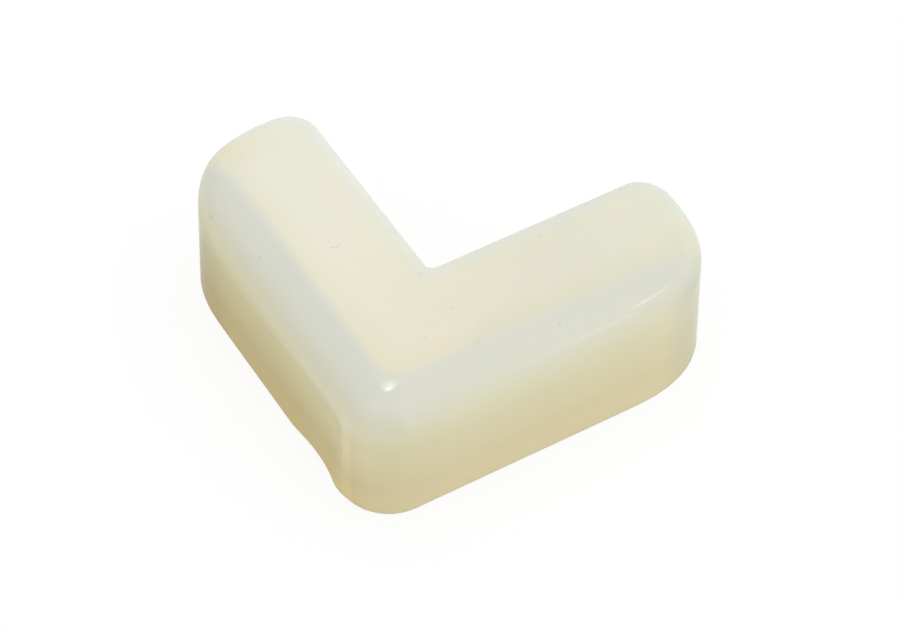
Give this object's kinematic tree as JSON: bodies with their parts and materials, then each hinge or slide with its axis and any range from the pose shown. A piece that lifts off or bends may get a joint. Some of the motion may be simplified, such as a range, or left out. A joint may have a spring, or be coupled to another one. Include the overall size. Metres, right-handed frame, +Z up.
{
  "type": "furniture corner guard",
  "caption": "Soft L-shaped guard that sits over the corner of a table or shelf top and cushions its edges.",
  "frame": {"origin": "middle of the box round the guard, at the foot of its walls", "axes": "+Z up, with the rounded outer corner towards -X and -Y and the arms running from it along +X and +Y"},
  "size_m": [0.06, 0.0598, 0.0191],
  "materials": {
    "milky_rubber": "satin, milky and slightly see-through, pale cream with a warmer wall and a cooler shoulder"
  },
  "bodies": {
    "root": {"corner_guard": "milky_rubber"}
  },
  "joints": []
}
